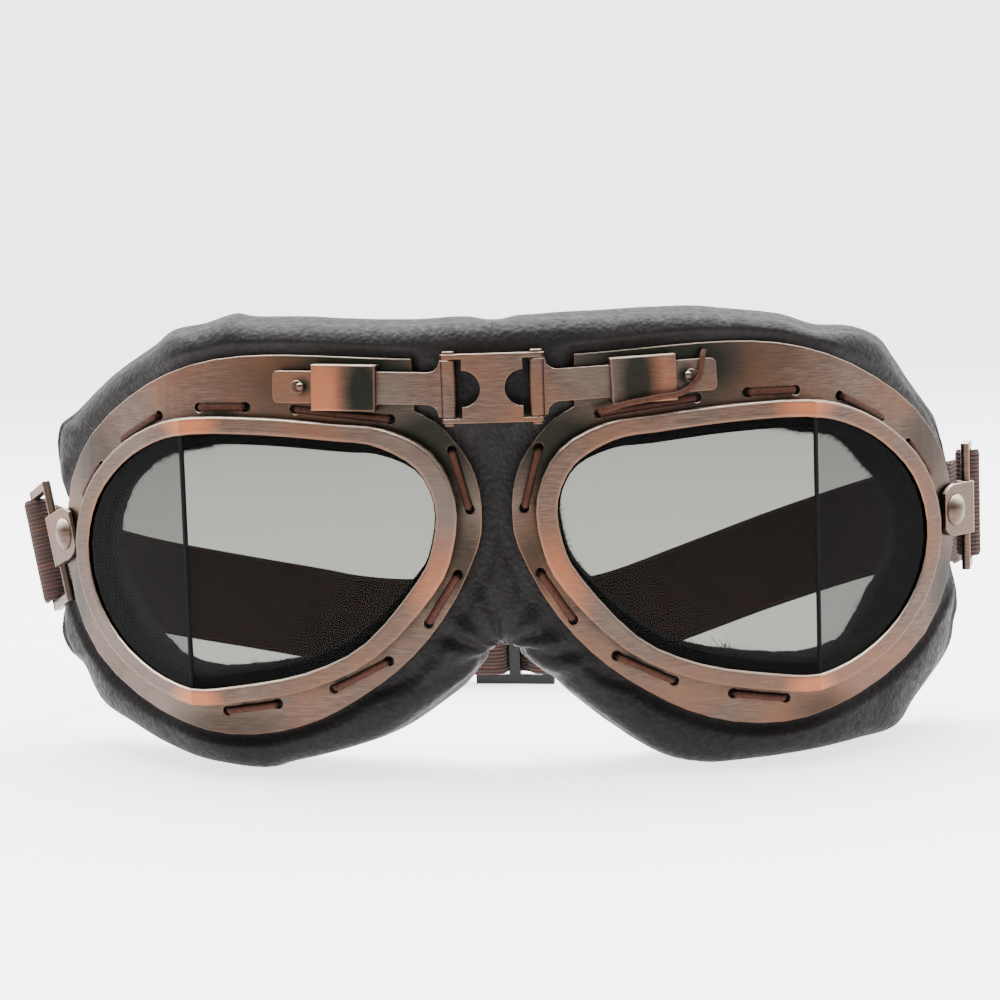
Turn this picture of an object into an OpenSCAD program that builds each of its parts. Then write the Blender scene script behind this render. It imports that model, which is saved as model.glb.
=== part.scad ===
// Motorcycle goggles: two hinged metal eye frames with two-pane lenses, laced to a
// padded leather mask, on a wide elastic strap.
// Left and right are as seen from the front. X runs to the right, Y from the front to
// the back and Z up. The origin is on the table, under the middle of the goggles.

/* [Eye frames] */
// Thickness of the frames' sheet metal
sheet_t = 0.8; // [0.6:0.1:0.9]
// Yaw of the large front panes
front_yaw = 8; // [7:0.5:9]
// Yaw of the small side panes
side_yaw = 42; // [40:0.5:43]
// Distance of the seam between two panes from the middle
seam_x = 69; // [68:0.5:70]
// How far the lens rims stand in front of the frames
rim_h = 3.5; // [3:0.1:3.7]
// Width of the lens rims
rim_w = 3.6; // [3.3:0.1:4]
// Thickness of the lens panes
lens_t = 1.6; // [1:0.1:1.8]
// Width of the black strip between two panes
strip_w = 0.9; // [0.7:0.1:1.2]
// Diameter of the lacing holes
hole_d = 2.2; // [2:0.1:2.4]
// Diameter of the lace
lace_d = 1.7; // [1.5:0.1:1.8]

/* [Bridge] */
// Distance of a hinge pin from the middle
pin_x = 9.35; // [9.2:0.05:9.6]
// Diameter of the hinge pins
pin_d = 1.6; // [1.4:0.1:1.8]
// Height of the bridge link
link_h = 14.7; // [14.5:0.1:15]
// Width of the bridge link's plate
link_w = 13; // [12.5:0.1:13.2]
// Thickness of an arm
arm_t = 1.2; // [1:0.1:1.3]
// Height of an arm
arm_h = 6.9; // [6.5:0.1:7]
// Length of an arm from its pin
arm_l = 38.8; // [38:0.1:40]
// Upward slant of the arms
arm_slant = 2; // [1:0.5:2.5]
// Length of a sleeve
sleeve_l = 14; // [12:0.5:14]

/* [Strap and its fittings] */
// Width of the elastic strap
strap_w = 25; // [23:0.5:25]
// Thickness of the elastic strap
strap_t = 1.5; // [1.2:0.1:1.5]
// Length of the strap slider along the strap
slider_l = 21; // [20:0.5:22]

/* [Hidden] */

FINE = 48;
// gap between pieces that don't touch
gap = 0.3;
// radial clearance of a running fit
fit = 0.05;
// half of the goggles' depth, which puts the origin under their middle
mid_y = 58.1;
// where the front panes' plane crosses the frames' front, from the middle
nose_x = 8.6;
// half of the length over which a frame bends round at the seam
bend_w = 8;
// where the frames start to curve further back, and how fast
flare_x = 92;
flare_k = 0.0136;
rivet_yaw = 50;
rivet_x = 102.7;
rivet_z = 51.5;
link_z = 85.1;
// distance of an arm's middle plane from the frame behind it
arm_off = 2.1;
knuckle_r = 1.75;
plate_t = 1;
left_droop = 20;
// how far each ring turns back from its bracket
left_ring_yaw = 5;
right_ring_yaw = 28;
ring_bar_r = 1;
ring_w = 9;
ring_h = strap_w + 4.5;
// the ring's inner bar, outward along the bracket and into the frame
ring_at = [7.2, 0.5];
bracket_h = 12;
bracket_t = 0.9;
rivet_r = 1.3;
lip_t = 0.7;
gasket_y = lip_t - rim_h + lens_t;
washer_t = 0.5;
slider_h = 31;
slider_t = 2.2;
slider_z = slider_h / 2;
slider_at = [-2, 112];
slider_yaw = 171;

// outline of a right-hand lens rim, anticlockwise from its outer end
RIM = [
  [99.3, 50.5], [95.5, 62.7], [87.3, 72], [77.3, 77.8], [67, 80.1], [50, 79.6],
  [34, 78], [23.8, 76.7], [13.8, 71.4], [8.8, 61.5], [9.6, 50.5], [14.1, 41],
  [27, 27.5], [42, 20.3], [59, 17.2], [69.5, 16.7], [80.7, 19.8], [90.8, 27],
  [97.5, 37.8]
];
// outline of a right-hand frame, from under its inner top corner round to that corner
FLANGE = [
  [17.2, 80.4], [12.6, 77.8], [9.1, 74.1], [5.5, 69], [3.6, 62.9], [3.3, 56.5],
  [4.4, 50.5], [9.5, 39.7], [15.8, 30.8], [23.1, 23.6], [31.2, 17.9], [40, 13.1],
  [50, 10.1], [61, 9.5], [72.4, 11.7], [84.4, 16.1], [95.4, 24.3], [101.8, 36.4],
  [103.2, 50.5], [101, 64.3], [93.7, 75.7], [83.4, 83.9], [72.5, 89.5], [61.3, 92.5],
  [50, 93.2], [38.7, 92.8], [26, 92], [17.5, 91.6]
];
// outline of a right-hand mask lobe, from the nose notch round to the top of the nose
MASK = [
  [9.3, 21.5], [16.5, 15.5], [24, 10], [34, 4], [41, 1], [48, -0.4], [57, -0.2],
  [66, 1.2], [75, 2.8], [83, 5], [91, 8], [97.5, 13], [101, 19.5], [102.8, 27],
  [103.2, 36], [103, 52], [103, 62], [102.2, 70], [99.5, 77], [95, 83], [89.5, 87.5],
  [83, 91.5], [76, 95], [69, 98], [61, 99.8], [53, 99.8], [42, 99.5], [25, 99.2],
  [9.3, 99]
];
// back of a right-hand mask lobe, seen from above
MASK_BACK = [
  [8, 22], [30, 26], [50, 31], [69, 38.5], [84, 48], [93, 55], [98, 58], [101, 57.5], [103, 54],
  [104.5, 50], [113, 48]
];
// lacing holes of a right-hand frame, in pairs with the lace in front between them
HOLES = [
  [96.6, 60.6], [91.6, 68.2], [85, 74.4], [75, 80.2], [65, 82.1], [54.5, 82],
  [43.5, 81.3], [22.5, 78.7], [9.3, 71.8], [5.9, 59], [8.9, 44.8], [15.7, 34.2],
  [24.8, 25.9], [37.2, 19.8], [50, 16.4], [61.5, 14.8]
];

// points of a smooth curve through a list of points
function curve_at(a, b, c, d, t) =
  (2 * b + (c - a) * t + (2 * a - 5 * b + 4 * c - d) * t * t
  + (3 * b - a - 3 * c + d) * t * t * t) / 2;
function closed_curve(p, n) = [
  for (i = [0:len(p) - 1], j = [0:n - 1])
    curve_at(p[(i + len(p) - 1) % len(p)], p[i], p[(i + 1) % len(p)],
      p[(i + 2) % len(p)], j / n)
];
function open_curve(p, n) = concat([
  for (i = [0:len(p) - 2], j = [0:n - 1])
    curve_at(p[max(i - 1, 0)], p[i], p[i + 1], p[min(i + 2, len(p) - 1)], j / n)
], [p[len(p) - 1]]);
// a closed anticlockwise outline moved outward by d, and by more near the nose
function moved(p, d, nose = 0) = [
  for (i = [0:len(p) - 1])
    let (t = p[(i + 1) % len(p)] - p[(i + len(p) - 1) % len(p)])
    let (more = nose * min(max((30 - p[i][0]) / 15, 0), 1))
    p[i] + (d + more) * [t[1], -t[0]] / norm(t)
];
function reversed(p) = [for (i = [len(p) - 1:-1:0]) p[i]];

RIM_OUTER = closed_curve(RIM, 3);
RIM_INNER = moved(RIM_OUTER, -rim_w, -0.9);
MASK_OPENING = moved(RIM_INNER, 0.6);
FLANGE_OUTER = open_curve(FLANGE, 2);
MASK_OUTER = [for (q = open_curve(MASK, 2)) [q[0], max(q[1], 0)]];

// depth of the panes' planes, creased at the seam, and of the rounded frame
function crease_y(x) =
  tan(front_yaw) * (min(x, seam_x) - nose_x) + tan(side_yaw) * max(x - seam_x, 0);
function sheet_y(x) =
  crease_y(x)
  + (tan(side_yaw) - tan(front_yaw)) * pow(max(bend_w - abs(x - seam_x), 0), 2) / (4 * bend_w)
  + flare_k * pow(max(x - flare_x, 0), 2);
function sheet_yaw(x) = atan((sheet_y(x + 0.1) - sheet_y(x - 0.1)) / 0.2);
// a point t behind the front of the frame's sheet, seen from above
function behind(x, t) = [x - t * sin(sheet_yaw(x)), sheet_y(x) + t * cos(sheet_yaw(x))];
SHEET_X = concat([-1], [for (i = [-4:4]) seam_x + i * bend_w / 4], [for (x = [flare_x:3:113]) x]);

PIN_Y = crease_y(pin_x) - arm_off / cos(front_yaw);
RIVET_Y = sheet_y(rivet_x);

// moves the model so that its origin is under its middle
module placed() translate([0, -mid_y, 0]) children();
module mirrored() mirror([1, 0, 0]) children();
// an outline in X and Z, carried along Y through the whole model
module through(p) translate([0, 90, 0]) rotate([90, 0, 0]) linear_extrude(110) polygon(p);
// what lies between two lines seen from above, over the whole height
module between(front, back)
  translate([0, 0, -5]) linear_extrude(110) polygon(concat(front, reversed(back)));
function crease_line(d) = [for (x = [-1, seam_x, 113]) [x, crease_y(x) + d]];
function sheet_line(d) = [for (x = SHEET_X) behind(x, d)];
// places with X along an arm, Y towards the frame, and the pin at the origin
module at_pin() translate([pin_x, PIN_Y, link_z]) rotate([0, 0, front_yaw]) children();
module at_arm() at_pin() rotate([0, -arm_slant, 0]) children();
// places with X outward along a bracket, Y into the frame, and the rivet at the origin
module at_rivet(droop)
  translate([rivet_x, RIVET_Y, rivet_z]) rotate([0, 0, rivet_yaw]) rotate([0, droop, 0]) children();
module at_ring(droop, yaw)
  at_rivet(droop) translate([ring_at[0], ring_at[1], 0]) rotate([0, 0, yaw]) children();
module block(lo, hi) translate(lo) cube(hi - lo);
module along_y(y0, y1, r)
  translate([0, y1, 0]) rotate([90, 0, 0]) cylinder(h = y1 - y0, r = r, $fn = FINE);

// the H-shaped plate over the nose, with ears above and below for the pins
module bridge_link() color("#a8826e") placed() difference() {
  union() {
    difference() {
      block([-link_w / 2, PIN_Y - knuckle_r, link_z - link_h / 2],
        [link_w / 2, PIN_Y - knuckle_r + plate_t, link_z + link_h / 2]);
      for (s = [-1, 1])
        translate([s * link_w / 2, PIN_Y, link_z]) along_y(-5, 5, 3.9);
    }
    for (z = [link_z - link_h / 2, link_z + link_h / 2 - plate_t]) {
      block([-pin_x, PIN_Y - knuckle_r, z], [pin_x, PIN_Y + knuckle_r, z + plate_t]);
      for (s = [-1, 1])
        translate([s * pin_x, PIN_Y, z]) cylinder(h = plate_t, r = knuckle_r, $fn = FINE);
    }
  }
  for (s = [-1, 1])
    translate([s * pin_x, PIN_Y, 0]) cylinder(h = 120, d = pin_d, $fn = FINE);
}

module hinge_pin() color("#8c6a58") placed() translate([pin_x, PIN_Y, link_z]) {
  translate([0, 0, -link_h / 2 - 0.6]) cylinder(h = link_h + 1.2, d = pin_d, $fn = FINE);
  for (z = [-link_h / 2 - 0.6, link_h / 2])
    translate([0, 0, z]) cylinder(h = 0.6, r = 1.3, $fn = FINE);
}

// the gathered leather between the two lobes of the mask
module nose_gusset() color("#332f30") placed() {
  edge = 9;
  web = [[-edge, 98.9], [-edge, 21.7], [0, 28.5], [edge, 21.7], [edge, 98.9]];
  difference() {
    translate([0, 20, 0]) rotate([90, 0, 0]) linear_extrude(16.8) polygon(web);
    block([-10, 8, 15], [10, 21, 64]);
  }
}

function arm_outline() =
  let (head = (link_h - 2 * plate_t) / 2 - gap, half = arm_h / 2, r = 1.2)
  concat(
    [[0, -head], [2, -head], [2.4, -half - 1.2], [3.4, -half - 0.3], [4.6, -half]],
    [for (a = [-90:30:0]) [arm_l - r + r * cos(a), -half + r + r * sin(a)]],
    [for (a = [0:30:90]) [arm_l - r + r * cos(a), half - r + r * sin(a)]],
    [[4.6, half], [3.4, half + 0.3], [2.4, half + 1.2], [2, head], [0, head]]
  );
// a flat arm with a rolled knuckle, and a punched stop near its outer end
module arm() color("#a07a66") placed() {
  head = (link_h - 2 * plate_t) / 2 - gap;
  difference() {
    union() {
      at_arm() translate([0, arm_t / 2, 0])
        rotate([90, 0, 0]) linear_extrude(arm_t) polygon(arm_outline());
      at_pin() translate([0, 0, -head]) cylinder(h = 2 * head, r = knuckle_r, $fn = FINE);
      at_arm() translate([33.4, 0, 0]) along_y(-arm_t / 2 - 0.5, 0, 1.4);
    }
    at_pin() translate([0, 0, -20]) cylinder(h = 40, r = pin_d / 2 + fit, $fn = FINE);
    for (z = [-20, head]) at_pin() translate([-5, -5, z]) cube([10, 10, 20 - head]);
  }
}

// the bent sheet that carries the lens rim, with its lacing holes
module flange() color("#96705c") placed() difference() {
  intersection() {
    through(FLANGE_OUTER);
    between(sheet_line(0), sheet_line(sheet_t));
  }
  through(moved(RIM_OUTER, -2.2));
  for (h = HOLES)
    translate([h[0], sheet_y(h[0]), h[1]]) rotate([0, 0, sheet_yaw(h[0])])
      along_y(-2, 3, hole_d / 2);
  at_rivet(0) along_y(-2, 3, rivet_r);
}

// the folded clip on the frame in which the arm slides
module sleeve() color("#5c5148") placed() at_arm() difference() {
  half = arm_h / 2 + gap;
  wall = 1.2;
  start = 15.9;
  block([start, -arm_t / 2 - gap - 0.9, -half - wall],
    [start + sleeve_l, arm_off - 0.01, half + wall]);
  block([start - 1, -arm_t / 2 - gap, -half], [start + sleeve_l + 1, arm_t / 2 + gap, half]);
}

// the raised channel rim that holds the panes
module bezel() color("#b08670") placed() difference() {
  intersection() {
    through(RIM_OUTER);
    between(crease_line(-rim_h), sheet_line(0));
  }
  through(RIM_INNER);
  intersection() {
    through(moved(RIM_OUTER, -0.8));
    between(crease_line(lip_t - rim_h), crease_line(20));
  }
}

module pane(x0, x1) intersection() {
  through(moved(RIM_OUTER, -1));
  between(crease_line(lip_t - rim_h), crease_line(lip_t - rim_h + lens_t));
  block([x0, -20, 0], [x1, 90, 100]);
}
module lens_front() color("#8e8e88", 0.6) placed() pane(0, seam_x - strip_w / 2);
module lens_side() color("#7e807a", 0.6) placed() pane(seam_x + strip_w / 2, 110);
module seam_strip() color("#141414") placed() intersection() {
  through(moved(RIM_OUTER, -1));
  between(crease_line(lip_t - rim_h), crease_line(lip_t - rim_h + lens_t));
  block([seam_x - strip_w / 2, -20, 0], [seam_x + strip_w / 2, 90, 100]);
}

// the soft black band behind the panes
module gasket() color("#171717") placed() difference() {
  intersection() {
    through(MASK_OPENING);
    between(crease_line(gasket_y), crease_line(6));
  }
  through(moved(RIM_INNER, -2.4, 2));
  block([seam_x - 0.6, -20, 0], [seam_x + 0.6, crease_y(seam_x) + 0.8, 100]);
}

function mask_front() = [for (x = SHEET_X) behind(x, sheet_t + gap)];
// one padded leather lobe, with pockets for the rivet and for the bracket's swing
module mask() color("#322e2f") placed() difference() {
  intersection() {
    through(MASK_OUTER);
    between(mask_front(), open_curve(MASK_BACK, 2));
  }
  through(MASK_OPENING);
  at_rivet(0) along_y(0, 3, 3);
  at_rivet(0) intersection() {
    along_y(-6, 4.6, 20);
    block([-1.2, -7, -21], [20, 5, 21]);
  }
}

// the fleece that lines the eye opening
module lining() color("#2c373c") placed() difference() {
  intersection() {
    through(MASK_OPENING);
    between(crease_line(6), [for (q = open_curve(MASK_BACK, 2)) q - [0, 0.5]]);
  }
  through(moved(RIM_INNER, -3.8, 3.3));
}

// a closed tube along a list of points
function tube_side(p, i) =
  let (t = p[min(i + 1, len(p) - 1)] - p[max(i - 1, 0)])
  let (u = t / norm(t))
  let (v = cross(abs(u[2]) < 0.9 ? [0, 0, 1] : [1, 0, 0], u))
  let (a = v / norm(v))
  [a, cross(u, a)];
module tube(p, r, sides = 8) {
  rings = [for (i = [0:len(p) - 1]) let (s = tube_side(p, i)) for (k = [0:sides - 1])
    p[i] + r * (cos(k * 360 / sides) * s[0] + sin(k * 360 / sides) * s[1])];
  walls = [for (i = [0:len(p) - 2], k = [0:sides - 1])
    let (a = i * sides + k, b = i * sides + (k + 1) % sides) [a, b, b + sides, a + sides]];
  last = (len(p) - 1) * sides;
  ends = [[for (k = [sides - 1:-1:0]) k], [for (k = [0:sides - 1]) last + k]];
  polyhedron(rings, concat(walls, ends));
}

// a point on the frame at X and Z, with its distance in front of the sheet
function on_sheet(q, front) = let (b = behind(q[0], -front)) [b[0], b[1], q[1]];
function mix(a, b, t) = a + (b - a) * t;
function toward(a, b, d) = a + (b - a) * d / norm(b - a);
lace_front = lace_d / 2 + 0.2;
lace_back = -sheet_t - lace_d / 2 - 0.2;
// the lace goes in front of the sheet within a pair of holes and behind it between pairs
LACE = [for (i = [0:2:len(HOLES) - 1])
  let (a = HOLES[i], b = HOLES[i + 1])
  let (before = HOLES[max(i - 1, 0)], after = HOLES[min(i + 2, len(HOLES) - 1)])
  each concat(
    i == 0 ? [] : [on_sheet(toward(a, before, 1.5), lace_back)],
    [on_sheet(a, -sheet_t / 2), on_sheet(toward(a, b, 1.5), lace_front),
      on_sheet(mix(a, b, 0.5), lace_front), on_sheet(toward(b, a, 1.5), lace_front),
      on_sheet(b, -sheet_t / 2)],
    i == len(HOLES) - 2 ? []
      : [on_sheet(toward(b, after, 1.5), lace_back), on_sheet(mix(b, after, 0.5), lace_back)]
  )
];
module lace() color("#82502c") placed() tube(LACE, lace_d / 2);
// the loose end of the right lace, over the sleeve and once round the end of the arm
LACE_END = [
  [22.5, -1.4, 79.6], [24.5, -2.8, 79.8], [28, -3.8, 80.9], [32, -4, 81.6], [36, -3.4, 82.2],
  [39.5, -1.5, 82.6], [42, 0.4, 83.8], [44, 1, 86], [44.6, 1.2, 88.3], [44.9, 2, 90.9],
  [45.2, 3.6, 91.5], [45.4, 5, 91]
];
module lace_end() color("#82502c") placed() tube(open_curve(LACE_END, 2), 0.75);

module washer() color("#8a6653") placed() at_rivet(0) difference() {
  along_y(-washer_t, 0, 3);
  along_y(-2, 1, rivet_r);
}
// the domed rivet on which the bracket swivels, peened behind the frame
module rivet() color("#b0876f") placed() at_rivet(0) {
  front = -washer_t - bracket_t - 0.1;
  along_y(front, sheet_t + 0.1, rivet_r);
  along_y(sheet_t + 0.1, sheet_t + 0.9, 2.4);
  intersection() {
    along_y(front - 2, front, 3.7);
    translate([0, front + 4.6, 0]) sphere(r = 5.9, $fn = FINE);
  }
}
// a folded tab, rolled round the ring's bar at its outer end
module bracket(droop) color("#a57d69") placed() at_rivet(droop) difference() {
  knuckle = ring_bar_r + fit + bracket_t;
  outer = -washer_t - bracket_t;
  union() {
    block([0, outer, -bracket_h / 2], [ring_at[0], -washer_t, bracket_h / 2]);
    intersection() {
      block([-4.4, outer, -bracket_h / 2], [0.1, -washer_t, bracket_h / 2]);
      along_y(outer, -washer_t, 6);
    }
    translate([ring_at[0], ring_at[1], -bracket_h / 2]) cylinder(h = bracket_h, r = knuckle, $fn = FINE);
  }
  translate([ring_at[0], ring_at[1], -20]) cylinder(h = 40, r = ring_bar_r + fit, $fn = FINE);
  along_y(-5, 5, rivet_r + fit);
}
// the oblong loop between bracket and strap
module ring(droop, yaw) color("#9b7560") placed() at_ring(droop, yaw) {
  for (x = [0, ring_w])
    translate([x, 0, -ring_h / 2]) cylinder(h = ring_h, r = ring_bar_r, $fn = FINE);
  for (z = [-ring_h / 2, ring_h / 2 - 2])
    block([0, -0.9, z], [ring_w, 0.9, z + 2]);
}

// where a ring's outer bar is, and how its top leans when the bracket droops
function ring_bar(droop, yaw, side) =
  let (x = ring_at[0] + ring_w * cos(yaw), y = ring_at[1] + ring_w * sin(yaw))
  [side * (rivet_x + x * cos(droop) * cos(rivet_yaw) - y * sin(rivet_yaw)),
    RIVET_Y + x * cos(droop) * sin(rivet_yaw) + y * cos(rivet_yaw), rivet_z - x * sin(droop)];
LEAN = tan(left_droop) * [-cos(rivet_yaw), sin(rivet_yaw)];
// a flat band along points given as [x, y, z, lean], where lean is the share of LEAN
function band_side(p, i) =
  let (t = p[min(i + 1, len(p) - 1)] - p[max(i - 1, 0)])
  let (w = [p[i][3] * LEAN[0], p[i][3] * LEAN[1], 1])
  [[-t[1], t[0], 0] / norm([t[0], t[1]]), w / norm(w)];
module band(p) {
  corners = [[-1, -1], [1, -1], [1, 1], [-1, 1]];
  rings = [for (i = [0:len(p) - 1]) let (s = band_side(p, i)) for (c = corners)
    [p[i][0], p[i][1], p[i][2]] + c[0] * strap_t / 2 * s[0] + c[1] * strap_w / 2 * s[1]];
  walls = [for (i = [0:len(p) - 2], k = [0:3], half = [0, 1])
    let (a = i * 4 + k, b = i * 4 + (k + 1) % 4)
    k < 2 ? (half == 0 ? [a, b, b + 4] : [a, b + 4, a + 4])
      : (half == 0 ? [a, b, a + 4] : [b, b + 4, a + 4])];
  last = (len(p) - 1) * 4;
  polyhedron(rings, concat(walls, [[3, 2, 1, 0], [last, last + 1, last + 2, last + 3]]));
}
// half way round a ring's outer bar, square to it, from its left side past its front
function wrapped(bar, lean, turns = [180:45:360]) =
  let (r = ring_bar_r + gap + 0.1 + strap_t / 2)
  [for (a = turns) let (x = r * cos(a), y = r * sin(a))
    [bar[0] + x, bar[1] + y, bar[2] - lean * (x * LEAN[0] + y * LEAN[1]), lean]];
// a point beside the slider: t along the strap to the left, n behind it
function by_slider(t, n, z, lean = 0) = [
  slider_at[0] + t * cos(slider_yaw) + n * sin(slider_yaw),
  slider_at[1] + t * sin(slider_yaw) - n * cos(slider_yaw), z, lean
];
// from its sewn end at the right ring, round the back and through the slider to its tail
STRAP_RIGHT = concat(
  [[107.9, 71, 47.2, 0], [108.3, 65, 49, 0], [107.4, 59.5, 50.8, 0]],
  wrapped(ring_bar(0, right_ring_yaw, 1), 0),
  [[110.9, 60, 50.8, 0], [110.4, 67, 48.6, 0], [108.8, 74, 46.2, 0], [103, 84, 42.8, 0],
    [90, 93, 38, 0], [67, 100, 30, 0], [44, 103.5, 23, 0], by_slider(-26, -1.5, 17.5),
    by_slider(-14, -2.2, 15.5), by_slider(-8, -2.2, 15.5), by_slider(-5.6, -1.4, 15.5),
    by_slider(-3.6, 1.4, 15.5), by_slider(-1.2, 2.2, 15.5), by_slider(1.2, 2.2, 15.5),
    by_slider(2.6, 1.2, 15.5), by_slider(2.9, -1.6, 15.5), by_slider(4.2, -3.6, 15.5),
    by_slider(8, -4.1, 15.5), by_slider(20, -4.1, 15.5), by_slider(30, -2.9, 15.5),
    by_slider(42, -2.1, 16.5), by_slider(52, -2.1, 18.4)]
);
// from its sewn end round the slider's left bar to its sewn end at the left ring
STRAP_LEFT = concat(
  [by_slider(18, -2.2, 15.5), by_slider(9.6, -2.2, 15.5), by_slider(7.4, -2, 15.5),
    by_slider(6.2, -0.9, 15.5), by_slider(6.2, 0.9, 15.5), by_slider(7.4, 2, 15.5),
    by_slider(9.6, 2.2, 15.5), by_slider(18, 1.6, 15.5), by_slider(30, 0, 15.5),
    by_slider(42, 0, 16.5), by_slider(52, 0, 18.4), [-72, 118, 22.5, 0.1], [-95, 103, 30, 0.3],
    [-108, 83, 38, 0.6], [-112.4, 68, 43, 0.9], [-113.8, 58, 45.6, 1]],
  wrapped(ring_bar(left_droop, left_ring_yaw, -1), 1),
  [[-110.4, 58, 45.6, 1], [-110.1, 64, 44, 0.95], [-108.7, 70, 42, 0.8]]
);
module strap_right() color("#3d2c29") placed() band(open_curve(STRAP_RIGHT, 2));
module strap_left() color("#3d2c29") placed() band(open_curve(STRAP_LEFT, 2));

// the three-bar slider at the back
module slider() color("#151515") placed() translate([slider_at[0], slider_at[1], slider_z])
  rotate([0, 0, slider_yaw]) difference() {
    block([-slider_l / 2, -slider_t / 2, -slider_h / 2], [slider_l / 2, slider_t / 2, slider_h / 2]);
    for (x = [-slider_l / 2 + 3, 1.5])
      block([x, -5, -strap_w / 2 - 0.6], [x + slider_l / 2 - 4.5, 5, strap_w / 2 + 0.6]);
  }

bridge_link();
mirrored() hinge_pin();  // hinge_pin_left
hinge_pin();  // hinge_pin_right
nose_gusset();
mirrored() arm();  // arm_left
arm();  // arm_right
mirrored() flange();  // flange_left
flange();  // flange_right
mirrored() sleeve();  // sleeve_left
sleeve();  // sleeve_right
mirrored() bezel();  // bezel_left
bezel();  // bezel_right
mirrored() lens_front();  // lens_front_left
lens_front();  // lens_front_right
mirrored() lens_side();  // lens_side_left
lens_side();  // lens_side_right
mirrored() seam_strip();  // seam_strip_left
seam_strip();  // seam_strip_right
mirrored() gasket();  // gasket_left
gasket();  // gasket_right
mirrored() lace();  // lace_left
lace();  // lace_right
lace_end();
mirrored() mask();  // mask_left
mask();  // mask_right
mirrored() lining();  // lining_left
lining();  // lining_right
mirrored() washer();  // washer_left
washer();  // washer_right
mirrored() rivet();  // rivet_left
rivet();  // rivet_right
mirrored() bracket(left_droop);  // bracket_left
bracket(0);  // bracket_right
mirrored() ring(left_droop, left_ring_yaw);  // ring_left
ring(0, right_ring_yaw);  // ring_right
strap_left();
strap_right();
slider();
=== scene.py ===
import math

import bmesh
import bpy
import numpy as np
from mathutils import Matrix, Vector, noise


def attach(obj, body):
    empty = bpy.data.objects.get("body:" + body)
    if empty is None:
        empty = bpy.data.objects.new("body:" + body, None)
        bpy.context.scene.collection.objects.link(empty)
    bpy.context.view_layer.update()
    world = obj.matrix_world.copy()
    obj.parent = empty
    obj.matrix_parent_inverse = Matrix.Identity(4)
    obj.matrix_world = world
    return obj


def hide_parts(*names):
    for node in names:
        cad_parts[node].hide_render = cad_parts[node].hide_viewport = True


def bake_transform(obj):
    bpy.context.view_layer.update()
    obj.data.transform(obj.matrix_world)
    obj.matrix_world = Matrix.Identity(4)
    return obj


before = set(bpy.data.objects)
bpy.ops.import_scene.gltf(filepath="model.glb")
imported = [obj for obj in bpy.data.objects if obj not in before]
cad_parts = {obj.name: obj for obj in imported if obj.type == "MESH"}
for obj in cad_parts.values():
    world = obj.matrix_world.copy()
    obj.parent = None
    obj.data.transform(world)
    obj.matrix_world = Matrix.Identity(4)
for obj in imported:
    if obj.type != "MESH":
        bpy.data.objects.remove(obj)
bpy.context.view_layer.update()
scene = bpy.context.scene
rng = np.random.default_rng(7)

# Lengths below are in millimetres, unless a comment says otherwise: x from the middle of the nose, y back
# from the front of the frames beside it, z up from the floor. place() turns them into metres in the row frame.
MM = 0.001
MID_Y = 58.1        # the row frame's origin lies this far behind that front


def place(points):
    """Millimetres to metres in the row frame."""
    a = np.array(points, float).reshape(-1, 3)
    return (a - [0, MID_Y, 0]) * MM


def at(x, y, z):
    return tuple(place([(x, y, z)])[0])


# ---------------------------------------------------------------- camera
az, el, roll = math.radians(2.75), math.radians(6), math.radians(-1.85)
LOOK_AT = Vector(at(0.7, 0, 60.8))
DISTANCE = 0.5      # metres
forward = Vector((-math.sin(az) * math.cos(el), math.cos(az) * math.cos(el), -math.sin(el)))
right = Vector((math.cos(az), math.sin(az), 0))
up = right.cross(forward)
right, up = (math.cos(roll) * right + math.sin(roll) * up,
             -math.sin(roll) * right + math.cos(roll) * up)
camera = bpy.data.objects.new("camera", bpy.data.cameras.new("camera"))
scene.collection.objects.link(camera)
camera.data.lens = 83.74
camera.data.sensor_width = 36
camera.data.clip_start = 0.05
camera.data.clip_end = 40
axes = Matrix((right, up, -forward)).transposed()
camera.matrix_world = Matrix.Translation(LOOK_AT - forward * DISTANCE) @ axes.to_4x4()
scene.camera = camera


# ---------------------------------------------------------------- materials
def tree(name):
    """A new material with nothing but its output."""
    m = bpy.data.materials.new(name)
    m.use_nodes = True
    nt = m.node_tree
    nt.nodes.clear()
    out = nt.nodes.new("ShaderNodeOutputMaterial")
    return m, nt, out


def node(nt, kind, **settings):
    """A shader node; settings are its properties or its inputs."""
    n = nt.nodes.new("ShaderNode" + kind)
    for k, v in settings.items():
        if hasattr(n, k):
            setattr(n, k, v)
        else:
            n.inputs[k.replace("_", " ")].default_value = v
    return n


def link(nt, a, ai, b, bi):
    nt.links.new(a.outputs[ai], b.inputs[bi])


def coords(nt, scale=(1, 1, 1), kind="Object"):
    c = node(nt, "TexCoord")
    m = node(nt, "Mapping")
    m.inputs["Scale"].default_value = scale
    link(nt, c, kind, m, "Vector")
    return m


def noise_node(nt, where, scale, detail=4, rough=0.5):
    n = node(nt, "TexNoise")
    n.inputs["Scale"].default_value = scale
    n.inputs["Detail"].default_value = detail
    n.inputs["Roughness"].default_value = rough
    link(nt, where, "Vector", n, "Vector")
    return n


def ramp(nt, source, out, stops):
    """A colour ramp; a stop is a position with a colour or with one grey level."""
    r = node(nt, "ValToRGB")
    link(nt, source, out, r, "Fac")
    e = r.color_ramp.elements
    while len(e) > 1:
        e.remove(e[-1])
    for i, (position, c) in enumerate(stops):
        stop = e.new(position) if i else e[0]
        stop.position = position
        stop.color = (c, c, c, 1) if isinstance(c, (int, float)) else (*c, 1)
    return r


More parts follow.
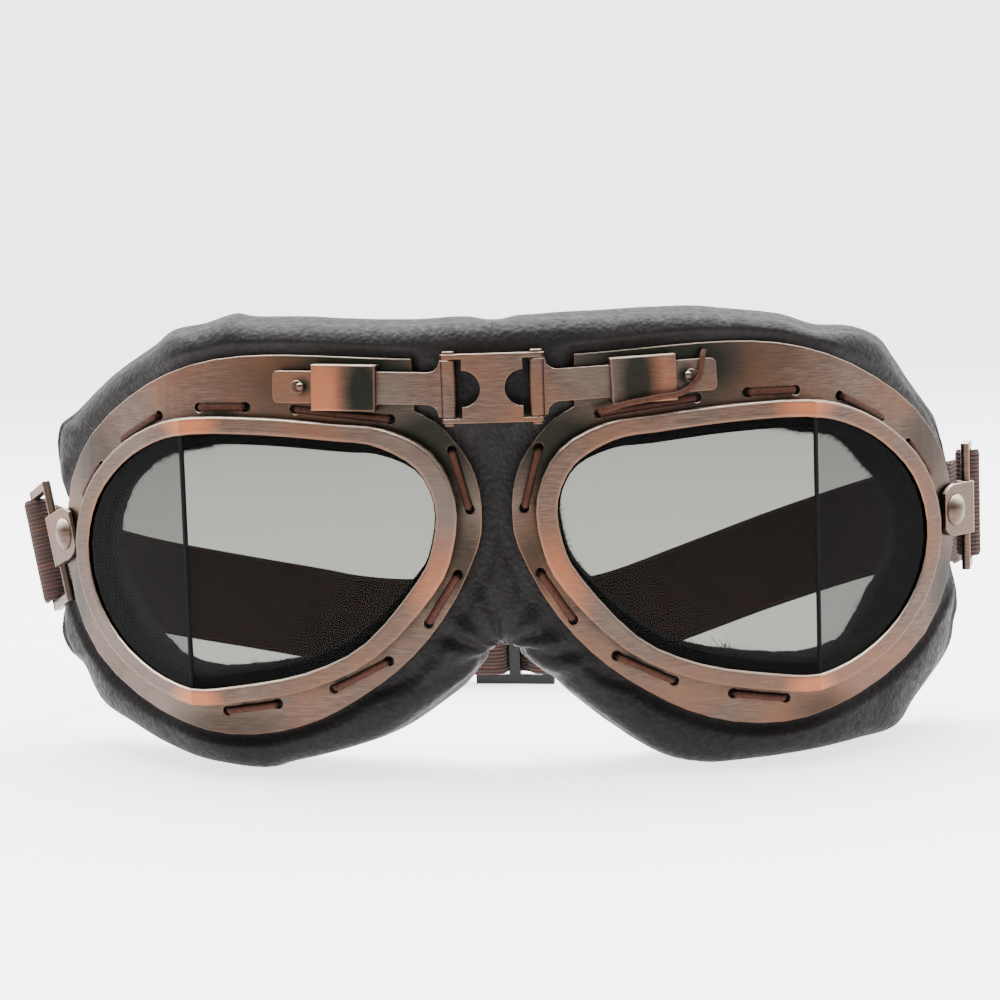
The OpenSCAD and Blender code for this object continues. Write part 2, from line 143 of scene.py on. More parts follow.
def mix(nt, fac, fac_out, a, b, mode="MIX"):
    """Two colours mixed; each is a colour or a node with its output's name."""
    m = node(nt, "MixRGB", blend_type=mode)
    if isinstance(fac, (int, float)):
        m.inputs["Fac"].default_value = fac
    else:
        link(nt, fac, fac_out, m, "Fac")
    for k, v in (("Color1", a), ("Color2", b)):
        if isinstance(v, tuple) and isinstance(v[0], (int, float)):
            m.inputs[k].default_value = (*v, 1)
        else:
            link(nt, v[0], v[1], m, k)
    return m


def math_node(nt, op, a, b=None, c=None):
    """A sum on up to three values; each is a number or a node with its output's name."""
    m = node(nt, "Math", operation=op)
    for i, v in enumerate((a, b, c)):
        if v is None:
            continue
        if isinstance(v, (int, float)):
            m.inputs[i].default_value = v
        else:
            link(nt, v[0], v[1], m, i)
    return m


def bump(nt, height, out, strength, depth_mm, under=None, invert=False):
    """Fine relief from a height; under is a node whose normal it starts from."""
    b = node(nt, "Bump", invert=invert)
    b.inputs["Strength"].default_value = strength
    b.inputs["Distance"].default_value = depth_mm * MM
    link(nt, height, out, b, "Height")
    if under is not None:
        link(nt, under, "Normal", b, "Normal")
    return b


def rounding(nt, radius_mm):
    """Normals that make sharp edges look rounded."""
    soft = node(nt, "Bevel", samples=6)
    soft.inputs["Radius"].default_value = radius_mm * MM
    return soft


def srgb(r, g, b):
    """Values from 0 to 255 in display colour, as the linear ones that shaders take."""
    def linear(c):
        c /= 255
        return c / 12.92 if c <= 0.04045 else ((c + 0.055) / 1.055) ** 2.4
    return linear(r), linear(g), linear(b)


def near(nt, centre, reach_mm, wobble, strength):
    """Strength at a place on the part, fading to 0 at the given reach (both in mm), with a ragged edge."""
    gap = node(nt, "VectorMath", operation="SUBTRACT")
    link(nt, node(nt, "TexCoord"), "Object", gap, 0)
    gap.inputs[1].default_value = at(*centre)
    squeeze = node(nt, "VectorMath", operation="MULTIPLY")
    link(nt, gap, "Vector", squeeze, 0)
    squeeze.inputs[1].default_value = tuple(1 / (r * MM) for r in reach_mm)
    length = node(nt, "VectorMath", operation="LENGTH")
    link(nt, squeeze, "Vector", length, 0)
    ragged = math_node(nt, "MULTIPLY_ADD", (wobble, "Fac"), 0.5, (length, "Value"))
    half = math_node(nt, "MULTIPLY", (ragged, "Value"), 0.6)
    return ramp(nt, half, "Value", [(0.4, strength), (0.85, 0.0)])


# the orange is a painted highlight where the copper bends; the dark green-black is patina in the hollows, and
# patina and painted shadow in the patches
ORANGE_HIGHLIGHT, REDDISH, GREYISH, PATINA_AND_SHADOW = srgb(158, 92, 60), srgb(100, 66, 48), srgb(86, 78, 72), srgb(22, 26, 22)
# edge colours: rubbed copper where an edge faces down, a painted highlight where it faces up
WEAR_AND_SHEEN_LOW, WEAR_AND_HIGHLIGHT_HIGH = srgb(128, 92, 72), srgb(240, 218, 198)
HOLLOW_MM = 3.6


def copper(name, round_mm, dark, patina_and_shadow_at=(), orange_highlight_at=()):
    """Antique copper: brushed lines, dark patina in the hollows and worn edges, with painted light: painted
    shadow and orange painted highlights in patches, and painted highlights on edges and on faces turned up.

    Each patch in the two lists is its middle, its reach along x, y and z, and its strength: the dark ones are
    patina and painted shadow, the orange ones painted highlights.
    """
    m, nt, out = tree(name)
    p = node(nt, "BsdfPrincipled")
    p.inputs["Metallic"].default_value = 1
    big = noise_node(nt, coords(nt), 38, 3)
    fine = noise_node(nt, coords(nt, (30, 30, 420)), 9, 5, 0.6)
    grime = noise_node(nt, coords(nt), 210, 4, 0.6)
    tone = ramp(nt, fine, "Fac", [(0.3, srgb(60, 49, 44)), (0.5, srgb(76, 62, 55)), (0.7, srgb(96, 80, 71))])
    shade = ramp(nt, big, "Fac", [(0.46, 0.0), (0.7, 0.75)])
    body = mix(nt, shade, "Color", (tone, "Color"), REDDISH)
    grey = ramp(nt, big, "Fac", [(0.3, 0.6), (0.44, 0.0)])
    body = mix(nt, grey, "Color", (body, "Color"), GREYISH)
    # orange patches: painted highlights where the copper bends towards the light
    for centre, reach_mm, strength in orange_highlight_at:
        patch = near(nt, centre, reach_mm, big, strength)
        body = mix(nt, patch, "Color", (body, "Color"), ORANGE_HIGHLIGHT)
    ao = node(nt, "AmbientOcclusion")
    ao.inputs["Distance"].default_value = HOLLOW_MM * MM
    ao.samples = 8
    hollow = ramp(nt, ao, "AO", [(0.35, 1.0), (0.92, 0.0)])
    spots = ramp(nt, grime, "Fac", [(0.42, 0.35), (0.66, 1.0)])
    wear = math_node(nt, "MULTIPLY", (hollow, "Color"), (spots, "Color"))
    amount = math_node(nt, "MULTIPLY", (wear, "Value"), dark)
    # dark patches: patina, and painted shadow where a part lies in shade under another
    for centre, reach_mm, strength in patina_and_shadow_at:
        patch = near(nt, centre, reach_mm, big, strength)
        amount = math_node(nt, "MAXIMUM", (amount, "Value"), (patch, "Color"))
    stained_and_shaded = mix(nt, amount, "Value", (body, "Color"), PATINA_AND_SHADOW)
    # bright where an edge turns, as wear and painted highlight, and a painted highlight on faces turned up,
    # brightest where they face straight up
    soft = rounding(nt, round_mm)
    flat = node(nt, "NewGeometry")
    turn = node(nt, "VectorMath", operation="DOT_PRODUCT")
    link(nt, soft, "Normal", turn, 0)
    link(nt, flat, "Normal", turn, 1)
    rim = ramp(nt, turn, "Value", [(0.86, 0.6), (0.985, 0.0)])
    upward = node(nt, "SeparateXYZ")
    link(nt, soft, "Normal", upward, "Vector")
    tint = ramp(nt, upward, "Z", [(0.0, WEAR_AND_SHEEN_LOW), (0.5, WEAR_AND_HIGHLIGHT_HIGH)])
    lit = ramp(nt, upward, "Z", [(0.16, 0.0), (0.5, 0.85)])
    share = math_node(nt, "MAXIMUM", (rim, "Color"), (lit, "Color"))
    worn_and_highlit = mix(nt, share, "Value", (stained_and_shaded, "Color"), (tint, "Color"))
    link(nt, worn_and_highlit, "Color", p, "Base Color")
    rough = ramp(nt, fine, "Fac", [(0.3, 0.30), (0.7, 0.46)])
    link(nt, rough, "Color", p, "Roughness")
    link(nt, bump(nt, fine, "Fac", 0.12, 0.12, soft), "Normal", p, "Normal")
    link(nt, p, "BSDF", out, "Surface")
    return m


def leather():
    """Black grained leather: small cells, a finer grain and soft creases."""
    m, nt, out = tree("leather")
    p = node(nt, "BsdfPrincipled")
    spot = coords(nt)
    cells = node(nt, "TexVoronoi", feature="SMOOTH_F1")
    cells.inputs["Scale"].default_value = 950
    cells.inputs["Smoothness"].default_value = 0.5
    link(nt, spot, "Vector", cells, "Vector")
    grain = noise_node(nt, spot, 620, 5, 0.6)
    mottled = noise_node(nt, spot, 60, 4, 0.55)
    tone = ramp(nt, mottled, "Fac", [(0.3, srgb(18, 15, 15)), (0.7, srgb(27, 23, 23))])
    p.inputs["Specular IOR Level"].default_value = 0.15
    pits = ramp(nt, cells, "Distance", [(0.0, (1.0, 1.0, 1.0)), (0.9, (0.45, 0.42, 0.42))])
    colour = mix(nt, 0.65, None, (tone, "Color"), (pits, "Color"), "MULTIPLY")
    link(nt, colour, "Color", p, "Base Color")
    rough = ramp(nt, grain, "Fac", [(0.35, 0.5), (0.7, 0.72)])
    link(nt, rough, "Color", p, "Roughness")
    creases = bump(nt, noise_node(nt, spot, 190, 6, 0.65), "Fac", 0.12, 0.5)
    pitted = bump(nt, cells, "Distance", 0.6, 0.25, creases, invert=True)
    grained = bump(nt, grain, "Fac", 0.35, 0.25, pitted)
    link(nt, grained, "Normal", p, "Normal")
    link(nt, p, "BSDF", out, "Surface")
    return m


def plain(name, colour, rough, relief, scale, sheen, spread, round_mm=0.0, shine=0.3, deep_mm=0.0):
    """One colour that varies by a share, spread; the last argument is how far painted shade reaches, darkening
    it in hollows and where other surfaces lie close.
    """
    m, nt, out = tree(name)
    p = node(nt, "BsdfPrincipled")
    n = noise_node(nt, coords(nt), scale, 5, 0.6)
    low = tuple(c * (1 - spread) for c in colour)
    high = tuple(min(c * (1 + spread), 1) for c in colour)
    tone = ramp(nt, n, "Fac", [(0.3, low), (0.7, high)])
    link(nt, tone, "Color", p, "Base Color")
    # painted shade: darker where other surfaces lie close, as where a lace dips into its holes
    if deep_mm:
        ao = node(nt, "AmbientOcclusion")
        ao.inputs["Distance"].default_value = deep_mm * MM
        dim = ramp(nt, ao, "AO", [(0.3, 0.06), (0.9, 1.0)])
        shaded = mix(nt, 1.0, None, (tone, "Color"), (dim, "Color"), "MULTIPLY")
        link(nt, shaded, "Color", p, "Base Color")
    p.inputs["Specular IOR Level"].default_value = shine
    p.inputs["Roughness"].default_value = rough
    p.inputs["Sheen Weight"].default_value = sheen
    soft = rounding(nt, round_mm) if round_mm else None
    link(nt, bump(nt, n, "Fac", relief, 0.3, soft), "Normal", p, "Normal")
    link(nt, p, "BSDF", out, "Surface")
    return m


RIBS, PICKS = 26, 32        # ribs across the strap, and picks in each 25 mm of its length


def webbing():
    """Ribbed elastic: ribs along the strap, crossed by fine picks, with reddish threads."""
    m, nt, out = tree("elastic")
    p = node(nt, "BsdfPrincipled")
    uv = coords(nt, kind="UV")
    split = node(nt, "SeparateXYZ")
    link(nt, uv, "Vector", split, "Vector")
    rib = math_node(nt, "SINE", (math_node(nt, "MULTIPLY", (split, "Y"), 2 * math.pi * RIBS), "Value"))
    pick = math_node(nt, "SINE", (math_node(nt, "MULTIPLY", (split, "X"), 2 * math.pi * PICKS), "Value"))
    threads = noise_node(nt, coords(nt, (0.25, 8, 1), kind="UV"), 9, 4, 0.6)
    fuzz = noise_node(nt, coords(nt), 900, 3, 0.6)
    tone = ramp(nt, threads, "Fac", [(0.35, srgb(52, 42, 39)), (0.55, srgb(73, 53, 48)),
                                     (0.68, srgb(98, 57, 45))])
    half = math_node(nt, "MULTIPLY_ADD", (rib, "Value"), 0.5, 0.5)
    shade = ramp(nt, half, "Value", [(0.0, 0.45), (0.7, 1.0)])
    colour = mix(nt, 1.0, None, (tone, "Color"), (shade, "Color"), "MULTIPLY")
    link(nt, colour, "Color", p, "Base Color")
    p.inputs["Roughness"].default_value = 0.85
    p.inputs["Specular IOR Level"].default_value = 0.2
    p.inputs["Sheen Weight"].default_value = 0.03
    weave = math_node(nt, "MULTIPLY_ADD", (pick, "Value"), 0.18, (rib, "Value"))
    height = math_node(nt, "MULTIPLY_ADD", (fuzz, "Fac"), 0.7, (weave, "Value"))
    link(nt, bump(nt, height, "Value", 0.7, 0.2), "Normal", p, "Normal")
    link(nt, p, "BSDF", out, "Surface")
    return m


def pane(name, tint):
    """A thin smoked pane: clear but for its tint, with a faint gloss on its outer side."""
    m, nt, out = tree(name)
    clear = node(nt, "BsdfTransparent")
    clear.inputs["Color"].default_value = (*tint, 1)
    shine = node(nt, "BsdfGlossy")
    shine.inputs["Roughness"].default_value = 0.03
    shine.inputs["Color"].default_value = (0.1, 0.1, 0.1, 1)
    facing = node(nt, "Fresnel")
    facing.inputs["IOR"].default_value = 1.35
    side = node(nt, "NewGeometry")
    front = math_node(nt, "SUBTRACT", 1.0, (side, "Backfacing"))
    amount = math_node(nt, "MULTIPLY", (facing, "Fac"), (front, "Value"))
    share = node(nt, "MixShader")
    link(nt, amount, "Value", share, "Fac")
    link(nt, clear, "BSDF", share, 1)
    link(nt, shine, "BSDF", share, 2)
    link(nt, share, "Shader", out, "Surface")
    return m


def stud(arm):
    """The middle of the round stud on an arm's end, in metres: its face is the foremost place out there."""
    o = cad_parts[arm]
    p = np.array([o.matrix_world @ v.co for v in o.data.vertices])
    p = p[abs(p[:, 0]) > OUT_THERE]
    return p[p[:, 1] < p[:, 1].min() + SAME_FACE].mean(0)


OUT_THERE = 0.03        # metres from the middle: each stud lies further out than this
SAME_FACE = 2e-5        # metres
STUDS = {arm: stud(arm) for arm in ("arm_left", "arm_right")}
LEATHER = leather()
# the frames' dark patches: patina, with painted shadow on the flange where it lies under the arms beside the
# nose
COPPER_FRAME = copper("copper_frame", 0.5, 0.95, [
    ((38, 2, 88), (30, 20, 12), 0.92), ((-33, 2, 88), (28, 20, 12), 0.92), ((14, 0, 72), (15, 12, 12), 0.9),
    ((-14, 0, 72), (15, 12, 12), 0.9), ((101, 40, 33), (6, 12, 12), 0.7), ((-62, 8, 11.5), (16, 12, 4), 0.5),
    ((-101, 40, 36), (5, 12, 12), 0.7), ((7, 1, 45), (5, 10, 14), 0.7), ((-7, 1, 45), (5, 10, 14), 0.7),
    ((-93, 30, 70), (8, 20, 12), 0.6), ((72, 8, 12), (12, 12, 5), 0.55), ((97, 30, 66), (8, 20, 12), 0.65)])
# the rims: orange painted highlights where they bend at the kinks above and below each eye, and fainter ones
# low beside the nose
COPPER_RIM = copper("copper_rim", 1.1, 1.0, (), [
    ((67, 10, 80), (7, 30, 5), 0.7), ((-67, 10, 80), (7, 30, 5), 0.8), ((67, 10, 17), (6, 30, 5), 0.65),
    ((-68, 10, 17), (6, 30, 5), 0.65), ((12, 4, 40), (8, 20, 14), 0.4), ((-12, 4, 40), (8, 20, 14), 0.4)])
# the sleeves: a dark patch and an orange patch side by side, painted shading across each rounded sleeve
COPPER_SLEEVE = copper("copper_sleeve", 0.7, 0.8, [
    ((31, 0, 85), (5, 12, 12), 0.9), ((-28, 0, 85), (5.5, 12, 12), 0.95)], [
    ((36, 0, 85), (4, 12, 12), 0.25), ((-37, 0, 85), (5, 12, 12), 0.55)])
COPPER_BRIGHT = copper("copper_bright", 0.3, 0.75)
COPPER_ARM = copper("copper_arm", 0.3, 0.75, [
    (tuple(c / MM + [0, MID_Y, 0]), (2.5, 4, 2.5), 1.0) for c in STUDS.values()])
FLEECE = plain("fleece", srgb(66, 70, 73), 0.95, 1.0, 900, 0.02, 0.4, shine=0.05)
RUBBER = plain("rubber", srgb(8, 9, 10), 0.8, 0.2, 700, 0, 0.2, shine=0.08)
PLASTIC = plain("black_plastic", srgb(11, 11, 12), 0.42, 0.12, 900, 0, 0.1, 0.4)
# the lace cord gets painted shade, darkest where it dips into its holes
CORD = plain("lace_cord", srgb(60, 33, 23), 0.7, 0.6, 1300, 0.0, 0.4, shine=0.15, deep_mm=2.4)
ELASTIC = webbing()
PANE_FRONT = pane("smoke_front", (0.322, 0.327, 0.311))
PANE_SIDE = pane("smoke_side", (0.235, 0.238, 0.229))

MADE_OF = {"flange": COPPER_FRAME, "bezel": COPPER_RIM, "sleeve": COPPER_SLEEVE, "lens_front": PANE_FRONT,
           "lens_side": PANE_SIDE, "gasket": RUBBER, "seam_strip": RUBBER, "slider": PLASTIC,
           "arm": COPPER_ARM}
for name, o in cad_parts.items():
    kind = name.replace("_left", "").replace("_right", "")
    o.data.materials.clear()
    o.data.materials.append(MADE_OF.get(kind, COPPER_BRIGHT))


# ---------------------------------------------------------------- shapes
def curve(points, per, closed=False):
    """A Catmull-Rom curve through the points, with this many steps from each to the next."""
    p = np.array(points, float)
    n = len(p)
    out = []
    for i in range(n if closed else n - 1):
        if closed:
            a, b, c, d = p[i - 1], p[i], p[(i + 1) % n], p[(i + 2) % n]
        else:
            a, b, c, d = p[max(i - 1, 0)], p[i], p[i + 1], p[min(i + 2, n - 1)]
        for j in range(per):
            t = j / per
            out.append((2 * b + (c - a) * t + (2 * a - 5 * b + 4 * c - d) * t * t
                        + (3 * b - a - 3 * c + d) * t ** 3) / 2)
    if not closed:
        out.append(p[-1])
    return np.array(out)


def even(points, n):
    """The same line as n points at equal distances."""
    d = np.r_[0, np.cumsum(np.linalg.norm(np.diff(points, axis=0), axis=1))]
    t = np.linspace(0, d[-1], n)
    return np.stack([np.interp(t, d, points[:, k]) for k in range(points.shape[1])], 1)


def moved(p, d, nose=0.0):
    """A closed outline moved outward by d, and by nose more on the side of the nose."""
    t = np.roll(p, -1, 0) - np.roll(p, 1, 0)
    n = np.stack([t[:, 1], -t[:, 0]], 1) / np.linalg.norm(t, axis=1)[:, None]
    more = nose * np.clip((30 - p[:, 0]) / 15, 0, 1)
    return p + (d + more)[:, None] * n


def smooth(t):
    t = np.clip(t, 0, 1)
    return t * t * (3 - 2 * t)


# One eye seen from the front, as (x, z): the outlines of the rim and of the flange, and the lacing holes in
# pairs, one pair to a stitch.
RIM = [(99.3, 50.5), (95.5, 62.7), (87.3, 72), (77.3, 77.8), (67, 80.1), (50, 79.6), (34, 78),
       (23.8, 76.7), (13.8, 71.4), (8.8, 61.5), (9.6, 50.5), (14.1, 41), (27, 27.5), (42, 20.3),
       (59, 17.2), (69.5, 16.7), (80.7, 19.8), (90.8, 27), (97.5, 37.8)]
FLANGE = [(17.2, 80.4), (12.6, 77.8), (9.1, 74.1), (5.5, 69), (3.6, 62.9), (3.3, 56.5), (4.4, 50.5),
          (9.5, 39.7), (15.8, 30.8), (23.1, 23.6), (31.2, 17.9), (40, 13.1), (50, 10.1), (61, 9.5),
          (72.4, 11.7), (84.4, 16.1), (95.4, 24.3), (102.5, 36.4), (104, 50.5), (101.4, 64.3),
          (93.7, 75.7), (83.4, 83.9), (72.5, 89.5), (61.3, 92.5), (50, 93.2), (38.7, 92.8), (26, 92),
          (17.5, 91.6)]
HOLES = [(96.6, 60.6), (91.6, 68.2), (85, 74.4), (75, 80.2), (65, 82.1), (54.5, 82), (43.5, 81.3),
         (22.5, 78.7), (9.3, 71.8), (5.9, 59), (8.9, 44.8), (15.7, 34.2), (24.8, 25.9), (37.2, 19.8),
         (50, 16.4), (61.5, 14.8)]
# The back of the mask as (x, y), and the two halves of its outline as (x, z), from the top of the nose round
# to its foot.
NOSE_TOP, NOSE_FOOT = 99.2, 28.5
MASK_BACK = [(0, 21), (8, 22), (30, 26), (50, 31), (69, 38.5), (84, 48), (93, 55), (98, 58), (101, 57.5),
             (103, 54), (104.5, 50), (113, 48)]
OUTLINE_RIGHT = [(0, NOSE_TOP), (9, 99.4), (20, 99.6), (34, 99.7), (49, 98.9), (62, 97.2), (70, 94.5),
                 (79.4, 93.5), (85.5, 90.7), (89.2, 85.7), (94.1, 78.5), (99.5, 71.1), (102.7, 61.5),
                 (103, 50), (103.1, 39.1), (104, 33), (103, 25.3), (101.1, 17.4), (93.1, 8.4), (87.8, 2.8),
                 (76.6, 2.1), (64.8, 1.4), (55.9, 0.6), (45.8, 0.2), (38.1, 1.6), (31.6, 4.6),
                 (20.8, 12.2), (12.3, 19.3), (3.8, 27.2), (0, NOSE_FOOT)]
OUTLINE_LEFT = [(0, NOSE_TOP), (9, 99.2), (20, 98.8), (51, 100), (57.7, 100.9), (64.6, 98.9), (72.4, 97.5),
                (77.5, 94.1), (89.1, 87.6), (99.8, 79.2), (104, 75.4), (105, 65.9), (103.2, 56.2),
                (103.2, 42.9), (105.8, 32.3), (105.4, 25.4), (100.7, 18.8), (96.6, 12.4), (91, 9.2),
                (74.4, 3.8), (64.5, 1.9), (54.2, 0.9), (47.9, 2.6), (34.6, 5.8), (23.2, 10.3), (9.6, 19.9),
                (3.9, 26.5), (0, NOSE_FOOT)]
# A frame's sheet runs back at a gentle slope, then steeply beyond a crease, and steeper still at its end.
FRONT_SLOPE, SIDE_SLOPE = math.tan(math.radians(8)), math.tan(math.radians(42))
START_X, CREASE_X, END_X = 8.6, 69, 92
CREASE_HALF = 8     # the crease is rounded this far to each side
END_CURVE = 0.0136


def crease_y(x):
    """The sheet's y with a sharp crease."""
    return FRONT_SLOPE * (np.minimum(x, CREASE_X) - START_X) + SIDE_SLOPE * np.maximum(x - CREASE_X, 0)


def sheet_y(x):
    """The y of the sheet's front face."""
    rounding_y = np.maximum(CREASE_HALF - abs(x - CREASE_X), 0) ** 2 / (4 * CREASE_HALF)
    return (crease_y(x) + (SIDE_SLOPE - FRONT_SLOPE) * rounding_y
            + END_CURVE * np.maximum(x - END_X, 0) ** 2)


def sheet_yaw(x):
    return np.arctan((sheet_y(x + 0.1) - sheet_y(x - 0.1)) / 0.2)


def behind(x, d):
    """The place that lies d behind the sheet's front face, square to it."""
    a = sheet_yaw(x)
    return x - d * math.sin(a), sheet_y(x) + d * math.cos(a)


def back_y(x):
    b = curve(MASK_BACK, 6)
    return np.interp(x, b[:, 0], b[:, 1])


# outlines of one eye: the rim's two edges, the mask's opening and the flange's edge
RIM_OUTER = curve(RIM, 8, True)
RIM_INNER = moved(RIM_OUTER, -3.6, -0.9)
OPENING = moved(RIM_INNER, 0.6)
FLANGE_OUTER = curve(FLANGE, 6)
CENTRE = np.array([53.0, 49.0])


def reach(loop, angles):
    """How far a closed outline is from CENTRE in each direction."""
    d = np.array(loop) - CENTRE
    a = np.arctan2(d[:, 1], d[:, 0])
    r = np.hypot(d[:, 0], d[:, 1])
    o = np.argsort(a)
    a, r = a[o], r[o]
    return np.interp(angles, np.r_[a[-1] - 2 * math.pi, a, a[0] + 2 * math.pi], np.r_[r[-1], r, r[0]])


def build(name, points, faces, material, body=None, uv=None, tidy=True):
    """A smooth mesh from points in mm; tidy welds it and turns its faces outward."""
    me = bpy.data.meshes.new(name)
    me.from_pydata([tuple(p) for p in place(points)], [], faces)
    me.materials.append(material)
    if uv is not None:
        layer = me.uv_layers.new(name="UVMap")
        for i, l in enumerate(me.loops):
            layer.data[i].uv = uv[l.vertex_index]
    if tidy:
        bm = bmesh.new()
        bm.from_mesh(me)
        bmesh.ops.remove_doubles(bm, verts=bm.verts, dist=2e-6)
        bmesh.ops.recalc_face_normals(bm, faces=bm.faces)
        bm.to_mesh(me)
        bm.free()
    me.polygons.foreach_set("use_smooth", [True] * len(me.polygons))
    o = bpy.data.objects.new(name, me)
    scene.collection.objects.link(o)
    if body:
        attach(o, body)
    return o


def grid_faces(rows, columns, loop_rows=False, loop_columns=False, skip=None):
    faces = []
    for i in range(rows if loop_rows else rows - 1):
        for j in range(columns if loop_columns else columns - 1):
            if skip and skip(i, j):
                continue
            a, b = i * columns + j, i * columns + (j + 1) % columns
            c, d = ((i + 1) % rows) * columns + (j + 1) % columns, ((i + 1) % rows) * columns + j
            faces.append((a, b, c, d))
    return faces


# ---------------------------------------------------------------- the leather mask
GATHER_Z, GATHERS = 27, 11      # the folds at the nose run out from this height, so many all round


def wrinkle(x, y, z, edge):
    """How far the leather stands out at a place, in mm."""
    v = Vector((x, y, z))
    lumps = 0.55 * noise.noise(v / 17) + 0.13 * noise.noise(v / 6 + Vector((9, 2, 4)))
    r = math.hypot(x, z - GATHER_Z)
    a = math.atan2(x, z - GATHER_Z)
    gathers = 0.75 * math.exp(-((r - 7) / 13) ** 2) * math.sin(GATHERS * a + 3 * noise.noise(v / 9))
    creases = 0.06 * edge * math.sin(noise.noise(v / 22) * 24 + (x + z) * 0.2)
    return lumps + gathers + creases


BOTH_EDGES = np.stack([even(curve(OUTLINE_RIGHT, 10), 420), even(curve(OUTLINE_LEFT, 10), 420) * [-1, 1]])
EDGE_FROM = BOTH_EDGES[:, :-1].reshape(-1, 2)
EDGE_STEP = np.diff(BOTH_EDGES, axis=1).reshape(-1, 2)


def to_edge(side, p):
    """How far places on one half are from the mask's whole outline."""
    q = (p * [side, 1])[:, None] - EDGE_FROM[None]
    t = np.clip((q * EDGE_STEP).sum(2) / (EDGE_STEP ** 2).sum(1), 0, 1)
    return np.linalg.norm(q - t[..., None] * EDGE_STEP, axis=2).min(1)


FRONT_ROWS, SIDE_ROWS, BACK_ROWS = 46, 12, 26
CLOSING = 44            # points up the middle, where the halves meet
BEHIND_SHEET = 1.1      # from the sheet's front face back to the leather
NOSE_HOLLOW, BRACKET_HOLLOW = 0.9, 2.2      # more, where the nose and the brackets need room
LIFT = 1.7              # how far the padding outside the flange stands forward of that
LESS_AT_NOSE = 0.9
FRONT_ROUND, BACK_ROUND = 6.5, 5.5          # radii of its edges, at most
LOWEST = 0.12           # nothing of it comes nearer the floor


